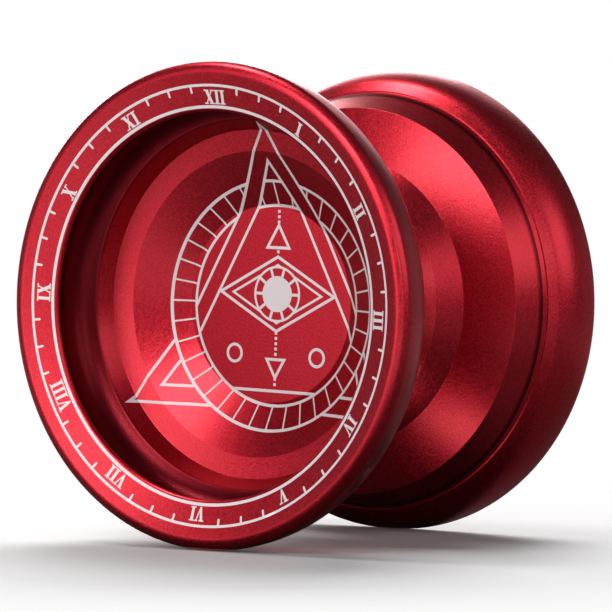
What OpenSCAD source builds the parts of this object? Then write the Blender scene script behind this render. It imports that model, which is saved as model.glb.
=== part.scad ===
// Throwing yo-yo for string tricks. Two cupped aluminium halves screw onto one axle,
// and a ten-ball bearing between them carries the string.
// The spin axis lies along Y, the origin is the middle of the bearing and +Z is up.

/* [Body] */
// Diameter over the rims
body_d = 56; // [55:0.5:58]
// Width over both rims
body_w = 40.8; // [40.4:0.1:42]
// Width of the string gap between the two flat walls
gap_w = 4.4; // [4.2:0.1:4.6]

/* [Rim] */
// Rounding between the rim and the narrow land that the yo-yo lies on
rim_round = 0.95; // [0.8:0.05:1.1]
// Width of that land
land_w = 0.45; // [0.3:0.05:0.6]
// Slope of the dial face, which falls towards the cup
dial_slope = 16; // [12:1:20]
// Radius of the cup's mouth
mouth_r = 22.24; // [22:0.02:22.6]
// Radius of the crown, seen in section
crown_bow = 12; // [10:0.5:16]
// Rounding where the crown turns in to the wall
shoulder_round = 2.3; // [2:0.1:2.6]

/* [Cup] */
// Depth of the cup's flat floor, measured from the middle of the yo-yo
floor_h = 7.2; // [7:0.1:7.6]
// Radius of that flat floor
floor_r = 11.5; // [10:0.5:12]
// Radius of the hollow cut under the mouth, seen in section
undercut_bow = 4; // [3.6:0.1:6]

/* [Axle] */
// Diameter of the axle screw
axle_d = 4; // [3.5:0.1:4.2]
// Length of the axle screw
axle_l = 10.4; // [9:0.1:10.8]
// Width across the flats of its socket
socket_w = 2; // [1.5:0.1:2]

/* [Bearing] */
// Outer diameter of the bearing
bearing_d = 12.7; // [12.6:0.1:12.8]
// Bore of the bearing
bearing_bore_d = 6.35; // [6.3:0.05:6.4]
// Width of the bearing
bearing_w = 4.76; // [4.7:0.01:4.8]
// Diameter of a ball
ball_d = 1.5875; // [1.5:0.0125:1.6]
// Number of balls
ball_count = 10; // [8:1:10]

/* [Pads] */
// Outer radius of the silicone ring
pad_out_r = 9.5; // [9:0.1:9.8]
// Inner radius of the silicone ring
pad_in_r = 7.3; // [7.2:0.1:7.8]
// Thickness of the silicone ring
pad_t = 1; // [0.8:0.1:1.2]

/* [Hidden] */

$fn = 96;
arc_steps = 12;

red = "#b01e2c";
steel = "#b9bcc0";
dark_steel = "#6f7276";
silicone = "#d9d6cf";

rim_r = body_d / 2;
face_h = body_w / 2;
gap_h = gap_w / 2;
bearing_h = bearing_w / 2;

// Running clearances
thread_clear = 0.03;
seat_clear = 0.02;
ball_clear = 0.03;
side_clear = 0.3;
pad_sink = 0.1;

// Centre of the half: threaded hole, bearing post and the step under the inner race
hole_r = axle_d / 2 + thread_clear;
hole_end_h = axle_l / 2 + 0.7;
post_r = bearing_bore_d / 2 - seat_clear;
post_h = 0.65;
post_chamfer = 0.2;
step_r = 4.1;
step_h = bearing_h + seat_clear;
recess_r = bearing_d / 2 + 0.35;
recess_h = bearing_h + side_clear;
groove_h = gap_h + pad_sink + pad_t;

// Corners of the stepped outer wall, from the gap out to the rim: [radius, height]
wall = [[10.4, gap_h], [15, 5.35], [17.3, 7.6], [23.2, 9.75]];
// Narrow lip where the wall meets the rim, and the fine groove behind it
lip = [[rim_r - 2.85, 13.5], [rim_r - 2.45, 13.6], [rim_r - 2.4, 14]];
// Corners of the stepped cup, from its edge in to the flat floor
cup = [[21.5, 12.65], [20.3, 10.8], [17.8, 10.3], [floor_r, floor_h]];

// Crown of the rim: a shallow bow, which runs into a tighter shoulder towards the gap
corner_c = [rim_r - rim_round, face_h - rim_round];
crown_c = [rim_r - crown_bow, corner_c[1]];
crown_turn = 20;
shoulder_c = crown_c + (crown_bow - shoulder_round) * [cos(crown_turn), -sin(crown_turn)];
shoulder_end = acos((lip[2][0] + 0.1 - shoulder_c[0]) / shoulder_round);

// Mouth of the cup: a small round between the dial face and the undercut
land_in_r = corner_c[0] - land_w;
mouth_round = 0.5;
mouth_c = [mouth_r + mouth_round,
           face_h - (land_in_r - mouth_r - mouth_round) * tan(dial_slope)
           - mouth_round / cos(dial_slope)];
mouth_end = 195;

function arc(c, r, from, to) =
    [for (i = [0:arc_steps])
        let (a = from + (to - from) * i / arc_steps) c + r * [cos(a), sin(a)]];

// Arc of radius r from p to q that bows to the right of the way from p to q
function bow(p, q, r) =
    let (d = q - p,
         half = norm(d) / 2,
         rise = sqrt(r * r - half * half),
         c = (p + q) / 2 + rise * [-d[1], d[0]] / norm(d),
         sweep = 2 * asin(half / r),
         start = atan2(p[1] - c[1], p[0] - c[0]))
    arc(c, r, start, start + sweep);

mouth_arc = arc(mouth_c, mouth_round, 90 + dial_slope, mouth_end);
undercut = bow(cup[0], mouth_arc[arc_steps], undercut_bow);

half_outline = concat(
    [[0, hole_end_h], [hole_r, hole_end_h], [hole_r, post_h],
     [post_r - post_chamfer, post_h], [post_r, post_h + post_chamfer], [post_r, step_h],
     [step_r, step_h], [step_r, recess_h], [recess_r, recess_h], [recess_r, gap_h],
     [pad_in_r, gap_h], [pad_in_r, groove_h], [pad_out_r, groove_h], [pad_out_r, gap_h]],
    wall,
    lip,
    arc(shoulder_c, shoulder_round, -shoulder_end, -crown_turn),
    arc(crown_c, crown_bow, -crown_turn, 0),
    arc(corner_c, rim_round, 0, 90),
    [[land_in_r, face_h]],
    mouth_arc,
    [for (i = [arc_steps - 1:-1:1]) undercut[i]],
    cup,
    [[0, floor_h]]);

// Ball bearing: radii of its races, cage and shields
pitch_r = (bearing_d + bearing_bore_d) / 4;
inner_race_r = 4.25;
outer_race_r = 5.28;
track_r = ball_d / 2 + ball_clear;
cage_in_r = 4.42;
cage_out_r = 5.1;
cage_w = 2.3;
pocket_r = ball_d / 2 + 0.05;
seat_r = 5.86;
seat_h = 1.92;
shield_in_r = inner_race_r + 0.08;
shield_t = 0.18;
ring_in_r = 5.55;
ring_groove_r = 5.98;
ring_t = 0.18;
ring_gap = 28;

// Turns a shape made about Z so that its +Z points along +Y (side 1) or -Y (side -1)
module along_y(side = 1) {
    rotate([-90 * side, 0, 0]) children();
}

module band(r_in, r_out, h_from, h_to) {
    translate([r_in, h_from]) square([r_out - r_in, h_to - h_from]);
}

module half(side) {
    color(red) along_y(side) rotate_extrude() polygon(half_outline);
}

module pad(side) {
    color(silicone) along_y(side)
        rotate_extrude() band(pad_in_r, pad_out_r, gap_h + pad_sink, groove_h);
}

module axle() {
    tip = 0.4;
    r = axle_d / 2;
    l = axle_l / 2;
    color(dark_steel) along_y() difference() {
        rotate_extrude()
            polygon([[0, -l], [r - tip, -l], [r, tip - l], [r, l - tip], [r - tip, l], [0, l]]);
        translate([0, 0, l - socket_w]) cylinder(d = socket_w / cos(30), h = socket_w + 1, $fn = 6);
    }
}

module bearing_inner_race() {
    color(steel) along_y() rotate_extrude() difference() {
        band(bearing_bore_d / 2, inner_race_r, -bearing_h, bearing_h);
        translate([pitch_r, 0]) circle(track_r);
    }
}

module bearing_outer_race() {
    color(steel) along_y() rotate_extrude() difference() {
        band(outer_race_r, bearing_d / 2, -bearing_h, bearing_h);
        translate([pitch_r, 0]) circle(track_r);
        for (s = [-1, 1]) scale([1, s]) {
            band(outer_race_r - 1, seat_r, seat_h, bearing_h + 1);
            band(outer_race_r, ring_groove_r, seat_h + shield_t, seat_h + shield_t + ring_t);
        }
    }
}

module bearing_cage() {
    color(dark_steel) along_y() difference() {
        rotate_extrude() band(cage_in_r, cage_out_r, -cage_w / 2, cage_w / 2);
        for (i = [1:ball_count])
            rotate([0, 0, ball_angle(i)]) rotate([0, 90, 0])
                translate([0, 0, cage_in_r - 1]) cylinder(r = pocket_r, h = 3);
    }
}

function ball_angle(i) = (i - 1) * 360 / ball_count;

module ball(i) {
    color("silver") along_y()
        rotate([0, 0, ball_angle(i)]) translate([pitch_r, 0, 0]) sphere(d = ball_d);
}

module shield(side) {
    color(steel) along_y(side)
        rotate_extrude() band(shield_in_r, seat_r, seat_h, seat_h + shield_t);
}

module snap_ring(side) {
    color(dark_steel) along_y(side)
        rotate_extrude(angle = 360 - ring_gap)
            band(ring_in_r, ring_groove_r, seat_h + shield_t, seat_h + shield_t + ring_t);
}

half(-1);  // half_front
half(1);  // half_back
pad(-1);  // pad_front
pad(1);  // pad_back
axle();
bearing_inner_race();
bearing_outer_race();
bearing_cage();
shield(-1);  // shield_front
shield(1);  // shield_back
snap_ring(-1);  // snap_ring_front
snap_ring(1);  // snap_ring_back
for (i = [1:ball_count])
    ball(i);
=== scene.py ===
"""Looks of a metal throwing yo-yo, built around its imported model. Sizes are in millimetres."""

import math

import bmesh
import bpy
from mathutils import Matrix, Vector
from mathutils.geometry import delaunay_2d_cdt


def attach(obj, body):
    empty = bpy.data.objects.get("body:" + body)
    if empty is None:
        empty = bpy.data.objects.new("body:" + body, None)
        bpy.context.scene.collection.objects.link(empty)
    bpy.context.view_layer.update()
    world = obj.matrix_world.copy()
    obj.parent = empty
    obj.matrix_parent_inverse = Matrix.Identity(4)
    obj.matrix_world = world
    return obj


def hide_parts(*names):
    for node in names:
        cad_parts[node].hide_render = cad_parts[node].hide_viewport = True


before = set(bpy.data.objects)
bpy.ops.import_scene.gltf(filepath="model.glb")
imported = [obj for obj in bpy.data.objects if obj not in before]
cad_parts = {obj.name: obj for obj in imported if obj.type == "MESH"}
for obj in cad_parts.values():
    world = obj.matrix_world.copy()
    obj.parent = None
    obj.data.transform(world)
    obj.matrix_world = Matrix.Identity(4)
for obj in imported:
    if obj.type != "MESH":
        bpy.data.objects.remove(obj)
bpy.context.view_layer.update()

MM = 0.001
scene = bpy.context.scene
scene.view_settings.view_transform = "Standard"

# --- Camera ---------------------------------------------------------------------------------
# A long lens almost level with the middle of the yo-yo, a third of the way round to its right,
# so that the engraved cup faces it and the stepped wall of the back half shows behind.

view_azimuth = math.radians(35.458)
view_elevation = math.radians(1.453)
view_distance = 474.34
aim = Vector((0.039, 0.015, -0.396))

towards_camera = Vector((math.sin(view_azimuth) * math.cos(view_elevation),
                         -math.cos(view_azimuth) * math.cos(view_elevation),
                         math.sin(view_elevation)))
camera = bpy.data.objects.new("camera", bpy.data.cameras.new("camera"))
scene.collection.objects.link(camera)
camera.data.sensor_width = 36.0
camera.data.lens = 236.09
camera.data.clip_start = 0.01
camera.data.clip_end = 10.0
camera.location = (aim + towards_camera * view_distance) * MM
camera.rotation_mode = "QUATERNION"
camera.rotation_quaternion = (-towards_camera).to_track_quat("-Z", "Y")
scene.camera = camera

# --- Studio ---------------------------------------------------------------------------------
# White paper lies under the yo-yo, a lit white wall stands behind it and soft boxes stand round it.
# A dome of dark cloth and two cards on the paper, hidden from the camera, give the metal its deep
# tones. An opening is two azimuths, with the elevation up to which the screen between is cut out.

floor_half, shadow_reach, shadow_blend = 3000.0, 95.0, 35.0
rim_radius, paper_glow, room_light = 28.0, 0.03, 0.3
cloth_radius, dark_card, card_hole, card_height = 760.0, 85.0, 1.0, 0.3 - rim_radius
wall_opening, card_opening = (-175.0, -112.0, 41.0), (-30.0, 48.0, 90.0)


def hex_colour(code):
    """An sRGB hex value as linear red, green, blue and alpha."""
    parts = [int(code[i:i + 2], 16) / 255 for i in (1, 3, 5)]
    return (*[p / 12.92 if p <= 0.04045 else ((p + 0.055) / 1.055) ** 2.4 for p in parts], 1.0)


def add_node(tree, kind, settings=None, inputs=None):
    """Adds a node with its settings. Each input, by name or number, takes a value or a link."""
    node = tree.nodes.new(kind)
    for name, value in (settings or {}).items():
        setattr(node, name, value)
    for name, value in (inputs or {}).items():
        if isinstance(value, bpy.types.NodeSocket):
            tree.links.new(value, node.inputs[name])
        else:
            node.inputs[name].default_value = value
    return node


def new_material(name):
    """An empty node material and its tree."""
    material = bpy.data.materials.new(name)
    material.use_nodes = True
    material.node_tree.nodes.clear()
    return material, material.node_tree


def mesh_object(name, mesh_data, material, smooth=True):
    """Links a bmesh into the scene as a closed piece with outward normals."""
    bmesh.ops.recalc_face_normals(mesh_data, faces=mesh_data.faces)
    mesh = bpy.data.meshes.new(name)
    mesh_data.to_mesh(mesh)
    mesh_data.free()
    mesh.materials.append(material)
    mesh.shade_smooth() if smooth else mesh.shade_flat()
    piece = bpy.data.objects.new(name, mesh)
    scene.collection.objects.link(piece)
    return piece


def direction(azimuth, elevation):
    """A unit vector: azimuth from the front (-Y) towards +X, elevation up, in degrees."""
    a, e = math.radians(azimuth), math.radians(elevation)
    return Vector((math.sin(a) * math.cos(e), -math.cos(a) * math.cos(e), math.sin(e)))


def seen_directly(tree):
    """1 for rays from the camera, a reflection or clear glass, 0 for rays that only bring light."""
    rays = add_node(tree, "ShaderNodeLightPath")
    seen = add_node(tree, "ShaderNodeMath", {"operation": "MAXIMUM"},
                    {0: rays.outputs["Is Camera Ray"], 1: rays.outputs["Is Glossy Ray"]})
    return add_node(tree, "ShaderNodeMath", {"operation": "MAXIMUM"},
                    {0: seen.outputs[0], 1: rays.outputs["Is Transmission Ray"]})


# White paper: matt, takes the yo-yo's soft shadow, and fades to an even white further out.
white_paper, tree = new_material("matt white paper")
seen = seen_directly(tree)
place = add_node(tree, "ShaderNodeTexCoord")
flat = add_node(tree, "ShaderNodeVectorMath", {"operation": "MULTIPLY"},
                {0: place.outputs["Object"], 1: (1.0, 1.0, 0.0)})
away = add_node(tree, "ShaderNodeVectorMath", {"operation": "LENGTH"}, {0: flat.outputs[0]})
far = add_node(tree, "ShaderNodeMapRange",
               inputs={"Value": away.outputs["Value"],
                       "From Min": (shadow_reach - shadow_blend) * MM,
                       "From Max": shadow_reach * MM})
paper = add_node(tree, "ShaderNodeBsdfDiffuse", inputs={"Color": hex_colour("#b6b6b6")})
lift = add_node(tree, "ShaderNodeEmission",
                inputs={"Color": hex_colour("#ffffff"), "Strength": paper_glow})
even = add_node(tree, "ShaderNodeEmission",
                inputs={"Color": hex_colour("#ffffff"), "Strength": 1.0})
near = add_node(tree, "ShaderNodeAddShader", inputs={0: paper.outputs[0], 1: lift.outputs[0]})
whole = add_node(tree, "ShaderNodeMixShader",
                 inputs={0: far.outputs[0], 1: near.outputs[0], 2: even.outputs[0]})
sheet_look = add_node(tree, "ShaderNodeMixShader",
                      inputs={0: seen.outputs[0], 1: paper.outputs[0], 2: whole.outputs[0]})
add_node(tree, "ShaderNodeOutputMaterial", inputs={"Surface": sheet_look.outputs[0]})

sheet = bmesh.new()
corners = [sheet.verts.new((x * floor_half * MM, y * floor_half * MM, -rim_radius * MM))
           for x, y in ((-1, -1), (1, -1), (1, 1), (-1, 1))]
sheet.faces.new(corners)
floor = mesh_object("floor", sheet, white_paper)

world = bpy.data.worlds.new("white wall")
world.use_nodes = True
scene.world = world
tree = world.node_tree
tree.nodes.clear()
seen = seen_directly(tree)
room = add_node(tree, "ShaderNodeBackground",
                inputs={"Color": hex_colour("#ffffff"), "Strength": room_light})
wall = add_node(tree, "ShaderNodeBackground",
                inputs={"Color": hex_colour("#ffffff"), "Strength": 1.0})
both = add_node(tree, "ShaderNodeMixShader",
                inputs={0: seen.outputs[0], 1: room.outputs[0], 2: wall.outputs[0]})
add_node(tree, "ShaderNodeOutputWorld", inputs={"Surface": both.outputs[0]})


def matt_cloth(name, colour, weave):
    """Matt dyed cloth or card: no shine, with a faint mottle from its weave or pulp."""
    material, tree = new_material(name)
    place = add_node(tree, "ShaderNodeTexCoord")
    mottle = add_node(tree, "ShaderNodeTexNoise", {"noise_dimensions": "3D"},
                      {"Vector": place.outputs["Object"], "Scale": 1 / (weave * MM)})
    tone = add_node(tree, "ShaderNodeMix", {"data_type": "RGBA", "blend_type": "MULTIPLY"},
                    {0: 0.2, 6: hex_colour(colour), 7: mottle.outputs["Color"]})
    cloth = add_node(tree, "ShaderNodeBsdfDiffuse", inputs={"Color": tone.outputs[2]})
    add_node(tree, "ShaderNodeOutputMaterial", inputs={"Surface": cloth.outputs[0]})
    return material


def hidden_screen(name, rows, material, opening=(0.0, 0.0, 0.0)):
    """A round screen from rows of (radius, height), seen in the metal but not by the camera."""
    screen = bmesh.new()
    azimuths = range(-180, 180, 4)
    grid = [[screen.verts.new((*(direction(a, 0.0).xy * r * MM), h * MM)) for a in azimuths]
            for r, h in rows]
    for (r, h), here, there in zip(rows, grid, grid[1:]):
        for k, azimuth in enumerate(azimuths):
            if not (opening[0] < azimuth < opening[1]
                    and math.degrees(math.atan2(h, r)) < opening[2]):
                n = (k + 1) % len(here)
                screen.faces.new((here[k], here[n], there[n], there[k]))
    screen = mesh_object(name, screen, material)
    screen.visible_camera = False
    return screen


cloth_rows = [(cloth_radius * math.cos(math.radians(e)), cloth_radius * math.sin(math.radians(e)))
              for e in range(0, 89, 4)]
hidden_screen("dark_cloth", [(cloth_radius, -rim_radius)] + cloth_rows,
              matt_cloth("dark cloth", "#66666a", 6.0), wall_opening)
for card in (hidden_screen("dark_card", [(card_hole, card_height), (dark_card, card_height)],
                           matt_cloth("dark card", "#4c4c4c", 3.0)),
             hidden_screen("grey_card", [(dark_card, card_height), (cloth_radius, card_height)],
                           matt_cloth("grey card", "#707070", 3.0), card_opening)):
    card.visible_shadow = False
    card.visible_diffuse = False


def soft_box(name, azimuth, elevation, width, height, brightness, distance=600.0):
    """A rectangular lamp that faces the yo-yo. Brightness 1 is the white of the wall."""
    lamp = bpy.data.lights.new(name, "AREA")
    lamp.shape = "RECTANGLE"
    lamp.size, lamp.size_y = width * MM, height * MM
    lamp.energy = 4 * brightness * lamp.size * lamp.size_y
    box = bpy.data.objects.new(name, lamp)
    scene.collection.objects.link(box)
    box.location = direction(azimuth, elevation) * distance * MM
    box.rotation_mode = "QUATERNION"
    box.rotation_quaternion = direction(azimuth, elevation).to_track_quat("Z", "Y")
    box.visible_camera = False
    return box


soft_box("key_box_front", -4.0, 29.0, 290.0, 215.0, 5.0)
soft_box("key_box_low", -20.5, 9.0, 180.0, 210.0, 2.6)
soft_box("strip_box_front", 38.0, 15.0, 130.0, 190.0, 2.4)
soft_box("fill_box_left", -56.0, 0.0, 560.0, 360.0, 0.17)
soft_box("fill_box_behind", 146.0, 0.0, 520.0, 420.0, 0.12)
soft_box("side_box_right", 82.0, 23.0, 550.0, 320.0, 1.15)
soft_box("rim_box_behind", -134.0, 20.0, 380.0, 240.0, 4.2)
soft_box("top_box", -64.0, 66.0, 150.0, 140.0, 16.0)
# A small box low beside the gap, seen only in reflections, lights the cone that faces it.
gap_box = soft_box("low_box_gap", 47.0, -56.0, 18.0, 9.0, 1.7, distance=31.0)
gap_box.visible_diffuse = False
# A large box behind and above lights only what is matt, and gives the paper its shadow in front.
paper_box = soft_box("paper_box_behind", -150.0, 58.0, 420.0, 420.0, 9.0)
paper_box.visible_glossy = False

# --- Halves ---------------------------------------------------------------------------------
# Each half is one piece of 6061 aluminium, turned on a lathe as a stepped cup, bead-blasted,
# then anodised and dyed red. Its threaded hole takes the axle, and its post clamps the bearing.
# An arc is given as its centre, its radius, and its first and last angle from the radius direction.

hole_radius, hole_end, post_end = 2.03, 5.9, 0.65
bearing_post = [(2.955, 0.65), (3.155, 0.85), (3.155, 2.4)]
bearing_seat = [(4.1, 2.4), (4.1, 2.68), (6.7, 2.68), (6.7, 2.2)]
pad_groove = [(7.3, 2.2), (7.3, 3.3), (9.5, 3.3), (9.5, 2.2)]
outer_wall = [(10.4, 2.2), (15.0, 5.35), (17.3, 7.6), (23.2, 9.75)]
wall_lip = [(25.15, 13.5), (25.34, 13.53)]
edge_round, lip_round = 0.1, 0.03
crown_centre, crown_reach, crown_rise, crown_start = (25.2, 19.17), 2.8, 5.36, -68.0
rim_corner = ((26.77, 19.17), 1.23, 0.0, 106.0)
land_edge = (26.6, 20.4)
mouth = ((22.74, 18.773), 0.5, 106.0, 195.0)
undercut_radius = 3.2
cup_steps = [(21.5, 12.65), (20.3, 10.8), (17.8, 10.3), (11.5, 7.2)]
floor_height = 7.2
crown_steps, turns = 30, 240
mouth_support = (0.08, 0.023)


def arc(centre, radius, start, end, count):
    """Points on an arc in the turning profile, angles in degrees from the radius direction."""
    return [(centre[0] + radius * math.cos(math.radians(start + (end - start) * i / count)),
             centre[1] + radius * math.sin(math.radians(start + (end - start) * i / count)))
            for i in range(count + 1)]


def bow(start, end, radius, count):
    """Points strictly between two others, on the arc of that radius that bows to their right."""
    a, b = Vector(start), Vector(end)
    way = b - a
    rise = math.sqrt(radius ** 2 - (way.length / 2) ** 2)
    centre = (a + b) / 2 + Vector((-way.y, way.x)).normalized() * rise
    first = math.degrees(math.atan2(a.y - centre.y, a.x - centre.x))
    sweep = 2 * math.degrees(math.asin(way.length / 2 / radius))
    return arc(centre, radius, first, first + sweep, count)[1:-1]


def break_edges(corners, radius, steps=3, support=0.06):
    """The points with each sharp corner rounded, and a support point on each side of the round.

    A corner that turns less than 9 degrees, or has no room for its round, stays as it is.
    """
    made = []
    for i, here in enumerate(corners):
        here = Vector(here)
        if i in (0, len(corners) - 1):
            made.append(tuple(here))
            continue
        back, ahead = Vector(corners[i - 1]) - here, Vector(corners[i + 1]) - here
        turn = math.pi - back.angle(ahead)
        reach = radius * math.tan(turn / 2)
        if turn < math.radians(9) or reach + support > 0.45 * min(back.length, ahead.length):
            made.append(tuple(here))
            continue
        p, q = here + back.normalized() * reach, here + ahead.normalized() * reach
        made.append(tuple(p + back.normalized() * support))
        for k in range(steps + 1):
            t = k / steps
            made.append(tuple(p * (1 - t) ** 2 + here * 2 * t * (1 - t) + q * t ** 2))
        made.append(tuple(q + ahead.normalized() * support))
    return made


def lathe(name, outline, side, material, sweep=360.0, count=turns):
    """Turns a closed outline of (radius, height) about the spin axis, height towards -Y or +Y."""
    turned = bmesh.new()
    whole = sweep == 360.0
    rings = count if whole else count + 1
    columns = []
    for radius, height in outline:
        if radius < 1e-6:
            columns.append([turned.verts.new((0.0, side * height * MM, 0.0))])
            continue
        columns.append([turned.verts.new((radius * math.cos(a) * MM, side * height * MM,
                                          radius * math.sin(a) * MM))
                        for a in (math.radians(sweep) * k / count for k in range(rings))])
    open_ended = len(columns[0]) == 1 and len(columns[-1]) == 1
    for i in range(len(columns) - 1 if open_ended else len(columns)):
        here, there = columns[i], columns[(i + 1) % len(columns)]
        for k in range(count):
            n = (k + 1) % rings
            face = [here[k % len(here)], here[n % len(here)],
                    there[n % len(there)], there[k % len(there)]]
            turned.faces.new(list(dict.fromkeys(face)))
    if not whole:
        turned.faces.new([column[0] for column in columns])
        turned.faces.new([column[-1] for column in reversed(columns)])
    return mesh_object(name, turned, material)


# Red anodised aluminium, bead-blasted: a satin metal under a clear, glossier oxide skin.
# The blasting leaves a fine grain that sparkles, drawn coarser than its real 0.05 mm so that it
# shows. The skin adds a pale gloss that grows at a glancing view. In the groove under the rim
# the red is painted darker and the skin's gloss is taken off: painted shade for that recess.
blast_grain, dye_drift = 0.24, 7.0
# Painted shade in the groove under the rim: how far out it reaches and between which heights.
painted_shade_reach, painted_shade_heights = 24.9, (12.45, 18.5)
anodised_red, tree = new_material("red anodised blasted aluminium")
place = add_node(tree, "ShaderNodeTexCoord")
grain = add_node(tree, "ShaderNodeTexNoise", {"noise_dimensions": "3D"},
                 {"Vector": place.outputs["Object"], "Scale": 1 / (blast_grain * MM),
                  "Detail": 2.0, "Roughness": 0.6})
drift = add_node(tree, "ShaderNodeTexNoise", {"noise_dimensions": "3D"},
                 {"Vector": place.outputs["Object"], "Scale": 1 / (dye_drift * MM), "Detail": 1.0})
pits = add_node(tree, "ShaderNodeMapRange",
                inputs={"Value": grain.outputs["Fac"], "From Min": 0.34, "From Max": 0.66})
speckle = add_node(tree, "ShaderNodeMix", {"data_type": "RGBA"},
                   {0: pits.outputs[0], 6: hex_colour("#b51325"), 7: hex_colour("#dd2236")})
cloudy = add_node(tree, "ShaderNodeMath", {"operation": "MULTIPLY"},
                  {0: drift.outputs["Fac"], 1: 0.5})
dye = add_node(tree, "ShaderNodeMix", {"data_type": "RGBA"},
               {0: cloudy.outputs[0], 6: speckle.outputs[2], 7: hex_colour("#c6182a")})
apart = add_node(tree, "ShaderNodeSeparateXYZ", inputs={0: place.outputs["Object"]})
radial = add_node(tree, "ShaderNodeCombineXYZ",
                  inputs={0: apart.outputs["X"], 1: apart.outputs["Z"]})
radius = add_node(tree, "ShaderNodeVectorMath", {"operation": "LENGTH"}, {0: radial.outputs[0]})
depth = add_node(tree, "ShaderNodeMath", {"operation": "ABSOLUTE"}, {0: apart.outputs["Y"]})
above = add_node(tree, "ShaderNodeMapRange",
                 inputs={"Value": depth.outputs[0], "From Min": (painted_shade_heights[0] - 0.1) * MM,
                         "From Max": (painted_shade_heights[0] + 0.3) * MM})
below = add_node(tree, "ShaderNodeMapRange",
                 inputs={"Value": depth.outputs[0], "From Min": painted_shade_heights[1] * MM,
                         "From Max": (painted_shade_heights[1] - 0.8) * MM})
within = add_node(tree, "ShaderNodeMath", {"operation": "LESS_THAN"},
                  {0: radius.outputs["Value"], 1: painted_shade_reach * MM})
painted_shade = add_node(tree, "ShaderNodeMath", {"operation": "MULTIPLY"},
                  {0: above.outputs[0], 1: below.outputs[0]})
painted_shade = add_node(tree, "ShaderNodeMath", {"operation": "MULTIPLY"},
                  {0: painted_shade.outputs[0], 1: within.outputs[0]})
# Painted shade: in the groove the red turns dark and the coat's gloss is taken away.
shaded_dye = add_node(tree, "ShaderNodeMix", {"data_type": "RGBA"},
                {0: painted_shade.outputs[0], 6: dye.outputs[2], 7: hex_colour("#6a0e19")})
matting = add_node(tree, "ShaderNodeMapRange",
                   inputs={"Value": pits.outputs[0], "To Min": 0.28, "To Max": 0.42})
skin = add_node(tree, "ShaderNodeMapRange",
                inputs={"Value": painted_shade.outputs[0], "To Min": 0.35, "To Max": 0.06})
blasted = add_node(tree, "ShaderNodeBump",
                   inputs={"Height": pits.outputs[0], "Strength": 0.5, "Distance": 0.02 * MM})
metal = add_node(tree, "ShaderNodeBsdfPrincipled",
                 inputs={"Base Color": shaded_dye.outputs[2], "Metallic": 1.0,
                         "Roughness": matting.outputs[0], "Normal": blasted.outputs[0],
                         "Coat Weight": skin.outputs[0], "Coat Roughness": 0.27,
                         "Coat IOR": 1.6})
add_node(tree, "ShaderNodeOutputMaterial", inputs={"Surface": metal.outputs[0]})

mouth_arc = arc(*mouth, 12)
crown = []
for k in range(crown_steps + 1):
    angle = math.radians(crown_start * (1 - k / crown_steps))
    crown.append((crown_centre[0] + crown_reach * math.cos(angle),
                  crown_centre[1] + crown_rise * math.sin(angle)))
undercut = bow(cup_steps[0], mouth_arc[-1], undercut_radius, 14)[::-1]
lip = break_edges(outer_wall[-1:] + wall_lip + crown[:1], lip_round, support=lip_round)[1:-1]
half_outline = break_edges([(0.0, hole_end), (hole_radius, hole_end), (hole_radius, post_end)]
                           + bearing_post + bearing_seat + pad_groove + outer_wall + lip
                           + crown[:1], edge_round)
half_outline += crown[1:] + arc(*rim_corner, 20)[1:]
half_outline.append((mouth_arc[0][0] + mouth_support[0], mouth_arc[0][1] + mouth_support[1]))
half_outline += mouth_arc + undercut[:-1]
half_outline += break_edges(undercut[-1:] + cup_steps + [(0.0, floor_height)], edge_round)

for label, side in (("front", -1), ("back", 1)):
    half = lathe("cup_half_" + label, half_outline, side, anodised_red)
    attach(half, label + "_half")
    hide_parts("half_" + label)

# --- Dial engraving -------------------------------------------------------------------------
# Round the face of each rim a laser has burnt the dye out of the anodised skin: two circles with
# ticks and Roman numerals between them. What it leaves is pale bare metal, level with the skin.

dial_circles = ((25.2, 0.30), (22.76, 0.35))
tick_length, tick_width, ticks_per_hour = 0.75, 0.28, 4
dial_turn = 3.05
numeral_base, numeral_height, serif_height = 23.05, 1.62, 0.15
engraving_proud, engraving_depth = 0.012, 0.02
dial_slope = math.tan(math.radians(16.0))
hours = ("XII", "I", "II", "III", "IV", "V", "VI", "VII", "VIII", "IX", "X", "XI")


def circle(radius, centre=(0.0, 0.0), count=240):
    """Points round a full circle, in the plane seen when the cup is faced."""
    return [(centre[0] + radius * math.cos(2 * math.pi * k / count),
             centre[1] + radius * math.sin(2 * math.pi * k / count)) for k in range(count)]


def clockwise(points, degrees, centre=(0.0, 0.0)):
    """The points turned clockwise about the origin, then moved to a centre."""
    c, s = math.cos(math.radians(degrees)), math.sin(math.radians(degrees))
    return [(x * c + y * s + centre[0], y * c - x * s + centre[1]) for x, y in points]


def stroke(points, width, closed=False, shows=None, step=0.25):
    """A line of that width in short four-cornered pieces, mitred where it turns.

    Only pieces whose middle shows are kept, so that another figure can pass over the line.
    """
    points = [Vector(p) for p in points]
    count = len(points)
    left, right = [], []
    for i, here in enumerate(points):
        has_before, has_after = closed or i > 0, closed or i < count - 1
        ahead = (points[(i + 1) % count] - here).normalized() if has_after else None
        behind = (here - points[i - 1]).normalized() if has_before else ahead
        ahead = ahead or behind
        along = (behind + ahead).normalized()
        across = Vector((-along.y, along.x)) * (width / 2 / max(0.25, along.dot(ahead)))
        left.append(here + across)
        right.append(here - across)
    made = []
    for i in range(count if closed else count - 1):
        n = (i + 1) % count
        cuts = max(1, math.ceil((points[n] - points[i]).length / step))
        for k in range(cuts):
            a, b = k / cuts, (k + 1) / cuts
            piece = [right[i].lerp(right[n], a), right[i].lerp(right[n], b),
                     left[i].lerp(left[n], b), left[i].lerp(left[n], a)]
            if shows is None or shows(*(sum(piece, Vector((0.0, 0.0))) / 4)):
                made.append([tuple(p) for p in piece])
    return made


def dial_height(radius):
    """Height of the rim's sloping face."""
    return land_edge[1] - (land_edge[0] - radius) * dial_slope


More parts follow.
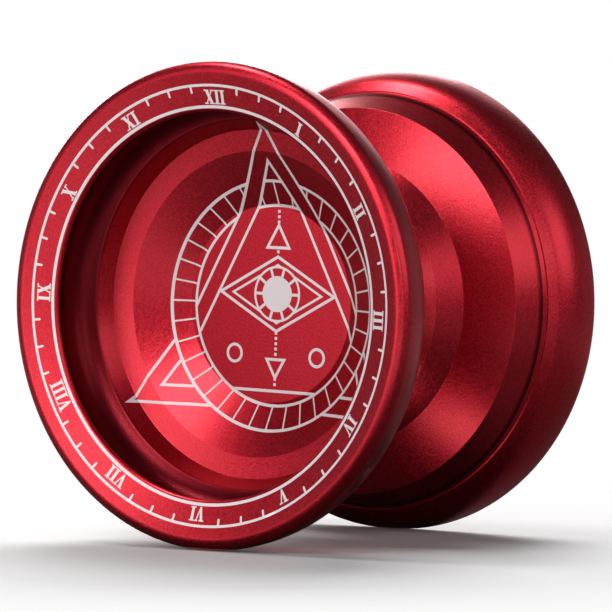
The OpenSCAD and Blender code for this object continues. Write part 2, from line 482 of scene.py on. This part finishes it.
def engrave(name, pieces, creases, height_at, side, material):
    """The union of flat pieces as one thin closed sheet, laid on the turned surface of a half."""
    points, faces, edges = [], [], []
    for piece in pieces:
        loop = [Vector(p) for p in piece]
        area = sum(a.x * b.y - b.x * a.y for a, b in zip(loop, loop[1:] + loop[:1]))
        faces.append(list(range(len(points), len(points) + len(loop))))
        points += loop if area > 0 else loop[::-1]
    for radius in creases:
        first, ring = len(points), circle(radius)
        points += [Vector(p) for p in ring]
        edges += [(first + k, first + (k + 1) % len(ring)) for k in range(len(ring))]
    flat, _, cells, _, _, source = delaunay_2d_cdt(points, edges, faces, 0, 1e-5, True)
    cells = [cell for cell, origin in zip(cells, source) if origin]
    skin = bmesh.new()
    top, bottom = {}, {}
    for v in sorted({v for cell in cells for v in cell}):
        height = height_at(flat[v].length)
        for layer, offset in ((top, engraving_proud), (bottom, -engraving_depth)):
            layer[v] = skin.verts.new((-side * flat[v].x * MM, side * (height + offset) * MM,
                                       flat[v].y * MM))
    borders = {(a, b) for cell in cells for a, b in zip(cell, cell[1:] + cell[:1])}
    for cell in cells:
        skin.faces.new([top[v] for v in cell])
        skin.faces.new([bottom[v] for v in reversed(cell)])
    for a, b in sorted(borders):
        if (b, a) not in borders:
            skin.faces.new((top[b], top[a], bottom[a], bottom[b]))
    return mesh_object(name, skin, material, smooth=False)


def letter(sign):
    """Width of a serif capital, and its flat pieces on a base line."""
    h, s = numeral_height, serif_height

    def bar(x0, x1, y0, y1):
        return [(x0, y0), (x1, y0), (x1, y1), (x0, y1)]

    def slant(bottom_left, bottom_right, top_left, top_right):
        return [(bottom_left, 0.0), (bottom_right, 0.0), (top_right, h), (top_left, h)]

    if sign == "I":
        return 0.78, [bar(0.21, 0.57, 0, h), bar(0.04, 0.74, 0, s), bar(0.04, 0.74, h - s, h)]
    if sign == "V":
        return 1.32, [slant(0.56, 0.80, 0.14, 0.54), slant(0.60, 0.76, 1.02, 1.18),
                      bar(0.0, 0.68, h - s, h), bar(0.86, 1.32, h - s, h)]
    return 1.36, [slant(0.82, 1.24, 0.12, 0.54), slant(0.16, 0.32, 1.02, 1.18),
                  bar(0.0, 0.50, 0, s), bar(0.70, 1.36, 0, s),
                  bar(0.0, 0.66, h - s, h), bar(0.86, 1.34, h - s, h)]


def numeral(text, degrees):
    """A numeral on the dial, its foot towards the cup."""
    letters = [letter(sign) for sign in text]
    x = -sum(width for width, _ in letters) / 2
    made = []
    for width, shapes in letters:
        for shape in shapes:
            made.append(clockwise([(x + u, numeral_base + v) for u, v in shape], degrees))
        x += width
    return made


# Laser-marked anodising: the dye is burnt out and the metal under it left finely pitted, so it
# scatters light like pale matt paint and stays light where the red round it goes dark.
laser_pit = 0.05
laser_mark, tree = new_material("laser-marked bare aluminium")
place = add_node(tree, "ShaderNodeTexCoord")
pits = add_node(tree, "ShaderNodeTexNoise", {"noise_dimensions": "3D"},
                {"Vector": place.outputs["Object"], "Scale": 1 / (laser_pit * MM), "Detail": 1.0})
pale = add_node(tree, "ShaderNodeMix", {"data_type": "RGBA"},
                {0: pits.outputs["Fac"], 6: hex_colour("#e6d7da"), 7: hex_colour("#fbf3f4")})
rough = add_node(tree, "ShaderNodeBump",
                 inputs={"Height": pits.outputs["Fac"], "Strength": 0.3, "Distance": 0.005 * MM})
marked = add_node(tree, "ShaderNodeBsdfPrincipled",
                  inputs={"Base Color": pale.outputs[2], "Roughness": 0.6, "Metallic": 0.5,
                          "Normal": rough.outputs[0]})
add_node(tree, "ShaderNodeOutputMaterial", inputs={"Surface": marked.outputs[0]})

dial_pieces = []
for radius, width in dial_circles:
    dial_pieces += stroke(circle(radius), width, closed=True)
for hour, text in enumerate(hours):
    dial_pieces += numeral(text, dial_turn + 30 * hour)
    for tick in range(1, ticks_per_hour):
        degrees = dial_turn + 30 * hour + 30 * tick / ticks_per_hour
        foot = dial_circles[0][0] - tick_length
        dial_pieces += stroke(clockwise([(0, dial_circles[0][0]), (0, foot)], degrees), tick_width)
        dial_pieces.append(clockwise(circle(tick_width / 2, (0, foot), 12), degrees))

# --- Cup engraving --------------------------------------------------------------------------
# The same laser draws over the steps of the cup: a ring with rungs, woven with a triangular
# band, and round the middle a spoked disc in a diamond on a dotted line. Plain figures only.

art_centre, art_tilt = (1.0, -0.2), 2.0
line_width, rung_width = 0.34, 0.2
ring_inner, ring_outer, rung_count = 11.7, 14.55, 36
triangle = ((0.0, 21.1), (-17.9, -12.1), (17.9, -12.1))
band_width = 2.0
weave_height = 3.0
hub_centre, hub_radius, disc_radius, spoke_count = (0.0, 1.35), 3.15, 2.1, 10
diamond_width, diamond_height, diamond_gap = 8.1, 4.35, 0.85
dot_size, dot_pitch = 0.34, 0.62
dotted_runs = ((11.0, 9.55), (6.3, 5.85), (-3.2, -6.3), (-8.6, -9.7))  # each from top to bottom
pointers = ((8.0, 1.55, 1.0), (-7.3, 1.25, -1.0))  # each its height, its half width and up or down
small_rings = ((-5.9, -5.8), (5.9, -5.8))
small_ring_radius = 1.0


def inset(corners, distance):
    """A triangle drawn inside another, each side that far in."""
    corners = [Vector(p) for p in corners]
    middle = sum(corners, Vector((0.0, 0.0))) / 3
    a, b = corners[0], corners[1]
    side = (b - a).normalized()
    inner_radius = abs(side.x * (middle - a).y - side.y * (middle - a).x)
    share = 1 - distance / inner_radius
    return [tuple(middle + (p - middle) * share) for p in corners]


def inside(x, y, corners):
    """Whether a point lies in a triangle whose corners run anticlockwise."""
    return all((b[0] - a[0]) * (y - a[1]) > (b[1] - a[1]) * (x - a[0])
               for a, b in zip(corners, corners[1:] + corners[:1]))


outer_triangle = list(triangle)
inner_triangle = inset(triangle, band_width)


def ring_shows(x, y):
    in_band = inside(x, y, outer_triangle) and not inside(x, y, inner_triangle)
    return y < weave_height or not in_band


def band_shows(x, y):
    return y > weave_height or not ring_inner < math.hypot(x, y) < ring_outer


art = []
for radius in (ring_inner, ring_outer):
    art += stroke(circle(radius), line_width, closed=True, shows=ring_shows)
for k in range(rung_count):
    rung = clockwise([(0, ring_inner), (0, ring_outer)], 360 * k / rung_count)
    art += stroke(rung, rung_width, shows=ring_shows)
for corners in (outer_triangle, inner_triangle):
    art += stroke(corners, line_width, closed=True, shows=band_shows, step=0.15)

diamond = [(diamond_width, 0.0), (0.0, diamond_height), (-diamond_width, 0.0),
           (0.0, -diamond_height)]
shrink = 1 - diamond_gap * math.hypot(diamond_width, diamond_height) / (
    diamond_width * diamond_height)
hub = [(x * share + hub_centre[0], y * share + hub_centre[1])
       for share in (1.0, shrink) for x, y in diamond]
art += stroke(hub[:4], line_width, closed=True)
art += stroke(hub[4:], line_width * 0.8, closed=True, step=0.15,
              shows=lambda x, y: math.hypot(x - hub_centre[0], y - hub_centre[1]) > hub_radius)
art += stroke(circle(hub_radius, hub_centre, 96), line_width * 0.8, closed=True)
art.append(circle(disc_radius, hub_centre, 72))
for k in range(spoke_count):
    spoke = clockwise([(0, disc_radius), (0, hub_radius)], 360 * (k + 0.5) / spoke_count,
                      hub_centre)
    art += stroke(spoke, line_width)

for top, bottom in dotted_runs:
    for k in range(int((top - bottom) / dot_pitch) + 1):
        y, half_dot = top - k * dot_pitch, dot_size / 2
        art.append([(-half_dot, y - half_dot), (half_dot, y - half_dot),
                    (half_dot, y + half_dot), (-half_dot, y + half_dot)])
for y, reach, up in pointers:
    art += stroke([(-reach, y - up * reach * 0.8), (reach, y - up * reach * 0.8),
                   (0, y + up * reach * 0.9)], line_width, closed=True)
for centre in small_rings:
    art += stroke(circle(small_ring_radius, centre, 48), line_width, closed=True)
cup_pieces = [clockwise(piece, art_tilt, art_centre) for piece in art]


def cup_height(radius):
    """Height of the cup's stepped floor."""
    steps = cup_steps[::-1]
    if radius <= steps[0][0]:
        return floor_height
    for (r0, h0), (r1, h1) in zip(steps, steps[1:]):
        if radius <= r1:
            return h0 + (h1 - h0) * (radius - r0) / (r1 - r0)
    return steps[-1][1]


cup_creases = [radius for radius, _ in cup_steps[1:]]
for label, side in (("front", -1), ("back", 1)):
    for kind, pieces, creases, height_at in (("dial", dial_pieces, [], dial_height),
                                             ("cup", cup_pieces, cup_creases, cup_height)):
        mark = engrave(f"{kind}_engraving_{label}", pieces, creases, height_at, side, laser_mark)
        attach(mark, label + "_half")

# --- Response pads --------------------------------------------------------------------------
# A flat ring of cast silicone is glued into a groove in each gap wall, a hair below the wall.
# When the string loop slackens, the pads grip it and wind the yo-yo back up.

pad_inner, pad_outer, pad_face, pad_back, pad_round = 7.32, 9.48, 2.3, 3.29, 0.12
pad_middle = (pad_inner + pad_outer) / 2

# Cast silicone rubber: milky and faintly translucent, with a soft sheen and string dust in it.
silicone_bloom = 0.6
silicone, tree = new_material("cast silicone rubber")
place = add_node(tree, "ShaderNodeTexCoord")
bloom = add_node(tree, "ShaderNodeTexNoise", {"noise_dimensions": "3D"},
                 {"Vector": place.outputs["Object"], "Scale": 1 / (silicone_bloom * MM),
                  "Detail": 3.0})
milky = add_node(tree, "ShaderNodeMix", {"data_type": "RGBA"},
                 {0: bloom.outputs["Fac"], 6: hex_colour("#cfc9bf"), 7: hex_colour("#e2ddd4")})
matting = add_node(tree, "ShaderNodeMapRange",
                   inputs={"Value": bloom.outputs["Fac"], "To Min": 0.45, "To Max": 0.62})
cast = add_node(tree, "ShaderNodeBump",
                inputs={"Height": bloom.outputs["Fac"], "Strength": 0.25, "Distance": 0.02 * MM})
rubber = add_node(tree, "ShaderNodeBsdfPrincipled",
                  inputs={"Base Color": milky.outputs[2], "Roughness": matting.outputs[0],
                          "IOR": 1.41, "Normal": cast.outputs[0]})
add_node(tree, "ShaderNodeOutputMaterial", inputs={"Surface": rubber.outputs[0]})

pad_outline = break_edges([(pad_middle, pad_face), (pad_outer, pad_face), (pad_outer, pad_back),
                           (pad_inner, pad_back), (pad_inner, pad_face), (pad_middle, pad_face)],
                          pad_round, support=0.03)[:-1]
for label, side in (("front", -1), ("back", 1)):
    pad = lathe("silicone_pad_" + label, pad_outline, side, silicone)
    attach(pad, label + "_half")
    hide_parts("pad_" + label)

# --- Axle -----------------------------------------------------------------------------------
# An M4 set screw of hardened steel holds the two halves together. Its thread is rolled, its
# ends are chamfered and the back end has a socket for a 2 mm hex key.

axle_radius, axle_root, axle_half_length, thread_pitch = 2.0, 1.58, 5.2, 0.7
crest_share, flank_share = 0.12, 0.72
chamfer_foot, chamfer_length = 1.48, 0.45
key_width, socket_depth, drill_radius, drill_cone = 2.0, 2.0, 0.84, 0.5
axle_sides, rows_per_pitch = 72, 14

# Black-oxide steel: a thin dark skin over a hard screw, oiled, rubbed bright on the crests.
oxide_grain, rubbed_depth = 0.2, 0.1
black_oxide, tree = new_material("black-oxide hardened steel")
place = add_node(tree, "ShaderNodeTexCoord")
flow = add_node(tree, "ShaderNodeTexNoise", {"noise_dimensions": "3D"},
                {"Vector": place.outputs["Object"], "Scale": 1 / (oxide_grain * MM), "Detail": 3.0})
radial = add_node(tree, "ShaderNodeVectorMath", {"operation": "MULTIPLY"},
                  {0: place.outputs["Object"], 1: (1.0, 0.0, 1.0)})
distance = add_node(tree, "ShaderNodeVectorMath", {"operation": "LENGTH"},
                    {0: radial.outputs[0]})
crest = add_node(tree, "ShaderNodeMapRange",
                 inputs={"Value": distance.outputs["Value"],
                         "From Min": (axle_radius - rubbed_depth) * MM,
                         "From Max": axle_radius * MM})
rubbed = add_node(tree, "ShaderNodeMath", {"operation": "MULTIPLY"},
                  {0: crest.outputs[0], 1: flow.outputs["Fac"]})
skin_tone = add_node(tree, "ShaderNodeMix", {"data_type": "RGBA"},
                     {0: rubbed.outputs[0], 6: hex_colour("#2d2c2e"), 7: hex_colour("#8d8b8a")})
oiled = add_node(tree, "ShaderNodeMapRange",
                 inputs={"Value": flow.outputs["Fac"], "To Min": 0.28, "To Max": 0.46})
steel = add_node(tree, "ShaderNodeBsdfPrincipled",
                 inputs={"Base Color": skin_tone.outputs[2], "Metallic": 1.0,
                         "Roughness": oiled.outputs[0]})
add_node(tree, "ShaderNodeOutputMaterial", inputs={"Surface": steel.outputs[0]})


def thread_radius(along, angle):
    """Radius of the screw: a 60-degree thread with flat crests, cut back by the end chamfers."""
    phase = (along / thread_pitch - angle / (2 * math.pi)) % 1.0
    flank = min(1.0, max(0.0, (abs(phase - 0.5) * 2 - crest_share) / flank_share))
    rolled = axle_radius - (axle_radius - axle_root) * flank
    from_end = axle_half_length - abs(along)
    chamfered = chamfer_foot + (axle_radius - chamfer_foot) * from_end / chamfer_length
    return min(rolled, chamfered)


screw = bmesh.new()
angles = [2 * math.pi * k / axle_sides for k in range(axle_sides)]
key_radii = [key_width / 2 / math.cos((a + math.pi / 6) % (math.pi / 3) - math.pi / 6)
             for a in angles]
row_count = round(2 * axle_half_length / thread_pitch * rows_per_pitch)
columns = []
for row in range(row_count + 1):
    along = -axle_half_length + 2 * axle_half_length * row / row_count
    columns.append([(thread_radius(along, a), along) for a in angles])
columns.append([(r, axle_half_length) for r in key_radii])
columns.append([(r, axle_half_length - socket_depth) for r in key_radii])
columns.append([(drill_radius, axle_half_length - socket_depth)] * axle_sides)
rings = [[screw.verts.new((r * math.cos(a) * MM, y * MM, r * math.sin(a) * MM))
          for (r, y), a in zip(column, angles)] for column in columns]
start = screw.verts.new((0.0, -axle_half_length * MM, 0.0))
end = screw.verts.new((0.0, (axle_half_length - socket_depth - drill_cone) * MM, 0.0))
for k in range(axle_sides):
    n = (k + 1) % axle_sides
    for here, there in zip(rings, rings[1:]):
        screw.faces.new((here[k], here[n], there[n], there[k]))
    screw.faces.new((start, rings[0][n], rings[0][k]))
    screw.faces.new((rings[-1][k], rings[-1][n], end))
axle = mesh_object("threaded_axle", screw, black_oxide, smooth=False)
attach(axle, "front_half")
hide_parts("axle")

# --- Bearing races --------------------------------------------------------------------------
# The two rings of a 12.7 mm ball bearing are turned from chrome steel, hardened, then ground
# and lapped. The outer one carries the string, the inner one is clamped between the halves.

bearing_half, inner_bore, inner_land, outer_land, outer_radius = 2.38, 3.175, 4.25, 5.28, 6.35
ball_circle, track_radius, track_shoulder = 4.7625, 0.824, 0.9
shield_seat, seat_height, groove_radius, shield_sheet, wire = 5.86, 1.92, 5.98, 0.18, 0.18
race_edge = 0.15

# Ground bearing steel: bright and cool, with fine rings left by the grinding wheel.
grinding_mark = 0.12
ground_steel, tree = new_material("ground chrome bearing steel")
place = add_node(tree, "ShaderNodeTexCoord")
stretched = add_node(tree, "ShaderNodeVectorMath", {"operation": "MULTIPLY"},
                     {0: place.outputs["Object"], 1: (1.0, 0.0, 1.0)})
distance = add_node(tree, "ShaderNodeVectorMath", {"operation": "LENGTH"},
                    {0: stretched.outputs[0]})
apart = add_node(tree, "ShaderNodeSeparateXYZ", inputs={0: place.outputs["Object"]})
across = add_node(tree, "ShaderNodeCombineXYZ",
                  inputs={0: distance.outputs["Value"], 1: apart.outputs["Y"]})
marks = add_node(tree, "ShaderNodeTexNoise", {"noise_dimensions": "2D"},
                 {"Vector": across.outputs[0], "Scale": 1 / (grinding_mark * MM), "Detail": 2.0})
steel_tone = add_node(tree, "ShaderNodeMix", {"data_type": "RGBA"},
                      {0: marks.outputs["Fac"], 6: hex_colour("#b3b4b8"), 7: hex_colour("#d6d6d8")})
lapped = add_node(tree, "ShaderNodeMapRange",
                  inputs={"Value": marks.outputs["Fac"], "To Min": 0.14, "To Max": 0.30})
ground = add_node(tree, "ShaderNodeBump",
                  inputs={"Height": marks.outputs["Fac"], "Strength": 0.2, "Distance": 0.005 * MM})
race_steel = add_node(tree, "ShaderNodeBsdfPrincipled",
                      inputs={"Base Color": steel_tone.outputs[2], "Metallic": 1.0,
                              "Roughness": lapped.outputs[0], "Normal": ground.outputs[0]})
add_node(tree, "ShaderNodeOutputMaterial", inputs={"Surface": race_steel.outputs[0]})


def track(land, outward):
    """The ball track in a race, from one side of the land to the other."""
    dip = math.degrees(math.acos(abs(land - ball_circle) / track_radius))
    if outward:
        return arc((ball_circle, 0.0), track_radius, -dip, dip, 14)
    return arc((ball_circle, 0.0), track_radius, 180 - dip, 180 + dip, 14)


inner_outline = break_edges([(inner_land, track_shoulder), (inner_land, bearing_half),
                             (inner_bore, bearing_half), (inner_bore, -bearing_half),
                             (inner_land, -bearing_half), (inner_land, -track_shoulder)],
                            race_edge)
inner_outline += track(inner_land, outward=False)[::-1]
seat_top, wire_top = seat_height + shield_sheet, seat_height + shield_sheet + wire
step = [(outer_land, seat_height), (shield_seat, seat_height), (shield_seat, seat_top),
        (groove_radius, seat_top), (groove_radius, wire_top), (shield_seat, wire_top)]
outer_outline = track(outer_land, outward=True)[::-1]
outer_outline += [(r, -h) for r, h in step]
outer_outline += break_edges([(shield_seat, -wire_top), (shield_seat, -bearing_half),
                              (outer_radius, -bearing_half), (outer_radius, bearing_half),
                              (shield_seat, bearing_half), (shield_seat, wire_top)],
                             race_edge)[1:-1]
outer_outline += step[::-1]

inner_race = lathe("inner_race_ring", inner_outline, 1, ground_steel, count=120)
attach(inner_race, "bearing_core")
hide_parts("bearing_inner_race")
outer_race = lathe("outer_race_ring", outer_outline, 1, ground_steel, count=160)
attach(outer_race, "bearing_shell")
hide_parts("bearing_outer_race")

# --- Balls ----------------------------------------------------------------------------------
# Ten 1/16-inch balls of the same chrome steel, lapped to a mirror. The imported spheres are
# already true, so they stay and only take their finish.

# Lapped ball steel: close to a mirror, with the faint cloudy bands that running leaves.
running_band = 0.9
ball_steel, tree = new_material("lapped chrome steel ball")
place = add_node(tree, "ShaderNodeTexCoord")
bands = add_node(tree, "ShaderNodeTexNoise", {"noise_dimensions": "3D"},
                 {"Vector": place.outputs["Object"], "Scale": 1 / (running_band * MM),
                  "Detail": 2.0, "Distortion": 0.6})
ball_tone = add_node(tree, "ShaderNodeMix", {"data_type": "RGBA"},
                     {0: bands.outputs["Fac"], 6: hex_colour("#c4c5c9"), 7: hex_colour("#dededf")})
polish = add_node(tree, "ShaderNodeMapRange",
                  inputs={"Value": bands.outputs["Fac"], "To Min": 0.05, "To Max": 0.14})
mirror = add_node(tree, "ShaderNodeBsdfPrincipled",
                  inputs={"Base Color": ball_tone.outputs[2], "Metallic": 1.0,
                          "Roughness": polish.outputs[0]})
add_node(tree, "ShaderNodeOutputMaterial", inputs={"Surface": mirror.outputs[0]})
for number in range(1, 11):
    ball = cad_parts[f"ball_{number}"]
    ball.data.materials.clear()
    ball.data.materials.append(ball_steel)

# --- Cage -----------------------------------------------------------------------------------
# A thin turned steel ring with ten drilled pockets keeps the balls evenly apart. It has no
# fixing: it floats between the races and goes round with the balls.

# Turned steel: mid grey, with fine tool marks that run round the ring.
tool_mark = 0.1
turned_steel, tree = new_material("turned cage steel")
place = add_node(tree, "ShaderNodeTexCoord")
apart = add_node(tree, "ShaderNodeSeparateXYZ", inputs={0: place.outputs["Object"]})
rings_of_tool = add_node(tree, "ShaderNodeTexNoise", {"noise_dimensions": "1D"},
                         {"W": apart.outputs["Y"], "Scale": 1 / (tool_mark * MM), "Detail": 2.0})
cage_tone = add_node(tree, "ShaderNodeMix", {"data_type": "RGBA"},
                     {0: rings_of_tool.outputs["Fac"], 6: hex_colour("#8f8e8c"),
                      7: hex_colour("#b4b2ae")})
cage_polish = add_node(tree, "ShaderNodeMapRange",
                       inputs={"Value": rings_of_tool.outputs["Fac"], "To Min": 0.25,
                               "To Max": 0.42})
turned = add_node(tree, "ShaderNodeBsdfPrincipled",
                  inputs={"Base Color": cage_tone.outputs[2], "Metallic": 1.0,
                          "Roughness": cage_polish.outputs[0]})
add_node(tree, "ShaderNodeOutputMaterial", inputs={"Surface": turned.outputs[0]})
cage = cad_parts["bearing_cage"]
cage.data.materials.clear()
cage.data.materials.append(turned_steel)

# --- Shields and their rings ----------------------------------------------------------------
# A washer of stainless sheet closes each side of the bearing against dust. A C-shaped ring of
# spring wire, snapped into a groove in the outer race, holds it and can be picked out.

shield_inner, shield_middle, shield_bead, seat_clearance = 4.33, 5.0, 0.05, 0.01
snap_inner, snap_middle, snap_gap = 5.55, 5.7, 28.0

# Stamped stainless sheet: satin, with the straight grain that rolling gives it.
rolling_grain = 0.08
stamped_stainless, tree = new_material("rolled stainless sheet")
place = add_node(tree, "ShaderNodeTexCoord")
drawn = add_node(tree, "ShaderNodeVectorMath", {"operation": "MULTIPLY"},
                 {0: place.outputs["Object"], 1: (0.06, 1.0, 1.0)})
lay = add_node(tree, "ShaderNodeTexNoise", {"noise_dimensions": "3D"},
               {"Vector": drawn.outputs[0], "Scale": 1 / (rolling_grain * MM), "Detail": 2.0})
sheet_tone = add_node(tree, "ShaderNodeMix", {"data_type": "RGBA"},
                      {0: lay.outputs["Fac"], 6: hex_colour("#a3a4a5"), 7: hex_colour("#c3c3c2")})
satin = add_node(tree, "ShaderNodeMapRange",
                 inputs={"Value": lay.outputs["Fac"], "To Min": 0.26, "To Max": 0.42})
stainless = add_node(tree, "ShaderNodeBsdfPrincipled",
                     inputs={"Base Color": sheet_tone.outputs[2], "Metallic": 1.0,
                             "Roughness": satin.outputs[0]})
add_node(tree, "ShaderNodeOutputMaterial", inputs={"Surface": stainless.outputs[0]})

shield_outer, snap_outer = shield_seat - seat_clearance, groove_radius - seat_clearance
shield_outline = break_edges([(shield_middle, seat_height), (shield_outer, seat_height),
                              (shield_outer, seat_top), (shield_inner, seat_top),
                              (shield_inner, seat_height), (shield_middle, seat_height)],
                             shield_bead, support=0.02)[:-1]
snap_outline = break_edges([(snap_middle, seat_top), (snap_outer, seat_top),
                            (snap_outer, wire_top), (snap_inner, wire_top),
                            (snap_inner, seat_top), (snap_middle, seat_top)],
                           shield_bead, support=0.02)[:-1]
for label, side in (("front", -1), ("back", 1)):
    shield = lathe("dust_shield_" + label, shield_outline, side, stamped_stainless, count=120)
    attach(shield, "bearing_shell")
    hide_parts("shield_" + label)
    snap = lathe("retaining_ring_" + label, snap_outline, side, stamped_stainless,
                 sweep=360.0 - snap_gap, count=110)
    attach(snap, "bearing_shell")
    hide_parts("snap_ring_" + label)
